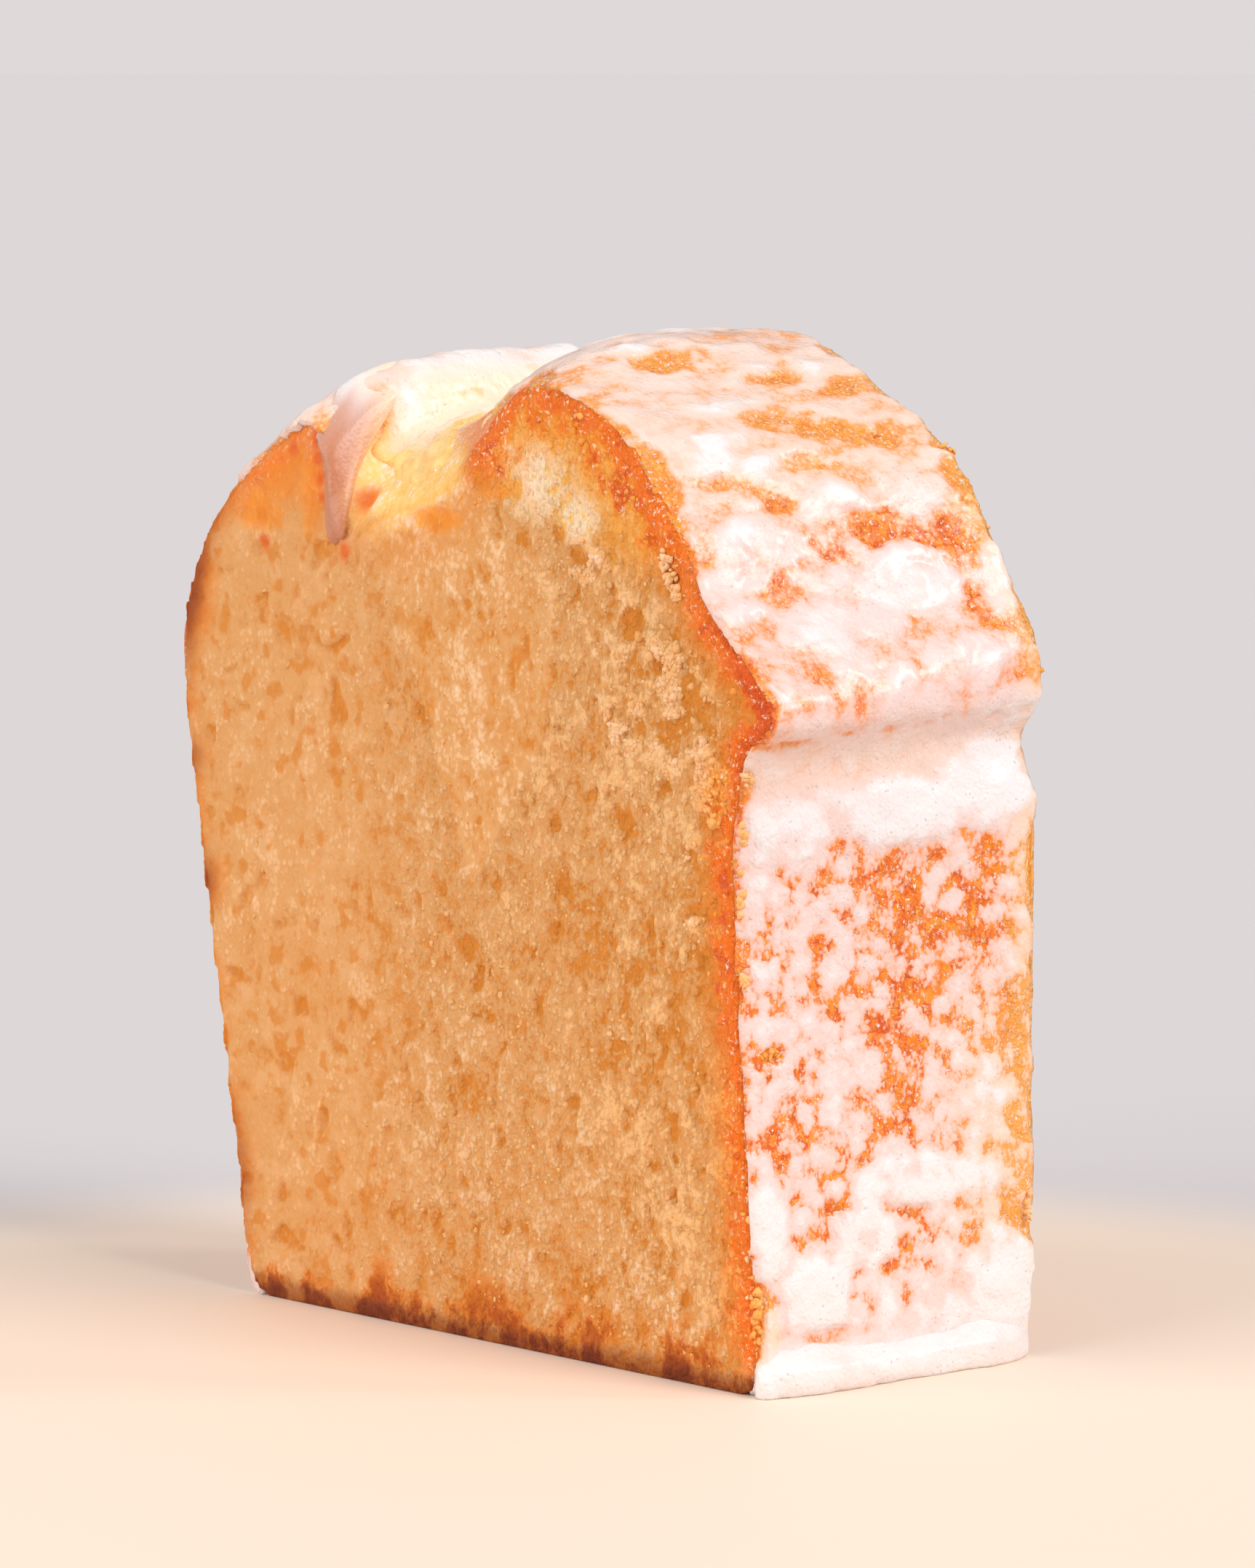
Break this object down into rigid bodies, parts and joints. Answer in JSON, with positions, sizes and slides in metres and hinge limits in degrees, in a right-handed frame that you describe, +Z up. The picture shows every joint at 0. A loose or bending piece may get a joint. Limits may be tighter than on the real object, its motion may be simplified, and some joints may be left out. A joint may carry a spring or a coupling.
{
  "type": "iced pound cake slice",
  "caption": "Thick upright slice of iced pound cake with a cracked, overhanging dome, flat cut faces and glaze that ran down its crust to a bead at the foot.",
  "frame": {"origin": "under the middle of the whole slice's bounding box, on the surface that it stands on", "axes": "+Z up, +X across the loaf to the side whose icing shows, -Y out of the cut face that shows"},
  "size_m": [0.1002, 0.0384, 0.1078],
  "materials": {
    "cake": "matt granular crumb with a browned, syrup-soaked crust",
    "icing": "satin sugar glaze, translucent where thin and white where thick"
  },
  "bodies": {
    "root": {"cake_slice": "cake", "icing_foot_near": "icing", "icing_foot_far": "icing", "icing_drip": "icing"}
  },
  "joints": []
}
